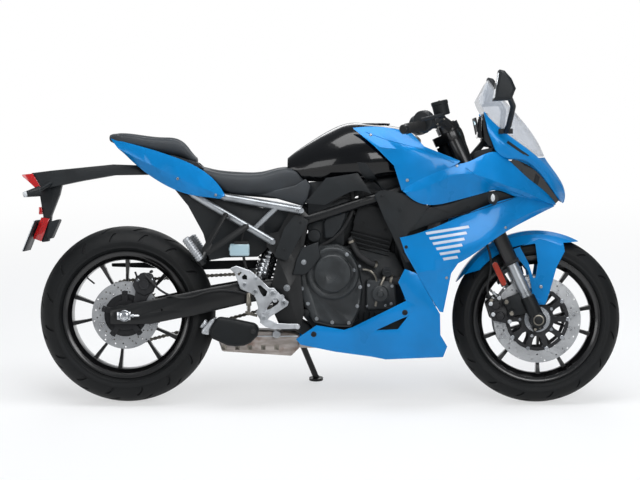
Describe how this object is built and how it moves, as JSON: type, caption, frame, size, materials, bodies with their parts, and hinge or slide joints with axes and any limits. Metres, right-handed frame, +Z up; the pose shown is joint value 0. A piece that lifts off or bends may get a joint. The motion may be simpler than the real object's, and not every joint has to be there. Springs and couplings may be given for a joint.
{
  "type": "sport motorcycle",
  "caption": "Faired road sport bike parked on its side stand, with turning wheels, steering, a folding side stand and a hinged fuel cap.",
  "frame": {"origin": "middle of the bounding box on the floor, with the bike leaning on its side stand", "axes": "+X forward along the bike, +Y to its left, the side it leans to, +Z up"},
  "size_m": [2.1366, 0.7975, 1.2218],
  "materials": {
    "blue_paint": "gloss",
    "black_paint": "gloss",
    "seat_cover": "satin",
    "dark_plastic": "satin",
    "black_frame": "satin",
    "silver_tube": "satin",
    "engine_black": "satin",
    "engine_grey": "satin",
    "exhaust_steel": "satin",
    "muffler_black": "matt",
    "fork_black": "satin",
    "fork_steel": "satin",
    "caliper_black": "satin",
    "disc_steel": "satin",
    "rim_black": "gloss",
    "tyre": "matt",
    "grip_rubber": "matt",
    "radiator_black": "satin",
    "clear_screen": "clear",
    "lamp_lens": "gloss",
    "red_lens": "gloss",
    "amber_lens": "gloss",
    "display": "gloss",
    "plate_white": "satin",
    "fluid_pot": "satin"
  },
  "bodies": {
    "chassis": {"air_box": "dark_plastic", "belly_cowls": "blue_paint", "brake_reservoir": "fluid_pot", "chain_guard": "dark_plastic", "clutch_cover": "engine_black", "crankcase": "engine_black", "cylinders": "engine_grey", "drive_chain": "disc_steel", "exhaust_chamber": "exhaust_steel", "exhaust_pipes": "exhaust_steel", "foot_controls": "silver_tube", "frame_covers": "dark_plastic", "fuel_tank": "black_paint", "headlamps": "lamp_lens", "inner_panels": "dark_plastic", "instrument_panel": "display", "instrument_stay": "dark_plastic", "left_covers": "engine_black", "lower_fairings": "blue_paint", "main_frame": "black_frame", "mirrors": "dark_plastic", "muffler": "muffler_black", "nose_cowl": "blue_paint", "number_plate": "plate_white", "passenger_rests": "silver_tube", "passenger_seat": "seat_cover", "plate_holder": "dark_plastic", "radiator": "radiator_black", "rear_axle": "fork_steel", "rear_caliper": "caliper_black", "rider_seat": "seat_cover", "shock_absorber": "fork_steel", "subframe": "silver_tube", "swingarm": "black_frame", "tail_boom": "dark_plastic", "tail_cowl": "blue_paint", "tail_lamp": "red_lens", "tank_covers": "blue_paint", "turn_signals": "amber_lens", "undertray": "dark_plastic", "upper_fairings": "blue_paint", "windscreen": "clear_screen"},
    "fork": {"yokes": "fork_black", "fork_tubes": "fork_black", "fork_sliders": "fork_steel", "front_axle": "fork_steel", "front_fender": "blue_paint", "front_calipers": "caliper_black", "handlebars": "fork_black", "grips": "grip_rubber", "bar_controls": "dark_plastic"},
    "front_wheel": {"front_rim": "rim_black", "front_tyre": "tyre", "front_discs": "disc_steel"},
    "rear_wheel": {"rear_rim": "rim_black", "rear_tyre": "tyre", "rear_disc": "disc_steel", "rear_sprocket": "disc_steel"},
    "side_stand": {"side_stand": "fork_steel"},
    "fuel_cap": {"fuel_cap": "black_paint"}
  },
  "joints": [
    {"name": "steering", "type": "hinge", "parent": "chassis", "child": "fork", "pos_m": [0.471, -0.02731, 0.85027], "axis": [-0.4226, 0.1574, 0.8925], "range_deg": [-32, 32]},
    {"name": "front_wheel_spin", "type": "hinge", "parent": "fork", "child": "front_wheel", "pos_m": [0.76914, -0.12498, 0.29636], "axis": [0, 0.9848, -0.1736], "continuous": true},
    {"name": "rear_wheel_spin", "type": "hinge", "parent": "chassis", "child": "rear_wheel", "pos_m": [-0.69554, -0.1223, 0.31158], "axis": [0, 0.9848, -0.1736], "continuous": true},
    {"name": "side_stand_fold", "type": "hinge", "parent": "chassis", "child": "side_stand", "pos_m": [-0.113, 0.03521, 0.26045], "axis": [0.0608, 0.9342, 0.3516], "range_deg": [0, 100]},
    {"name": "fuel_cap_lid", "type": "hinge", "parent": "chassis", "child": "fuel_cap", "pos_m": [0.249, -0.00405, 0.98224], "axis": [0, 0.9848, -0.1736], "range_deg": [0, 100]}
  ]
}
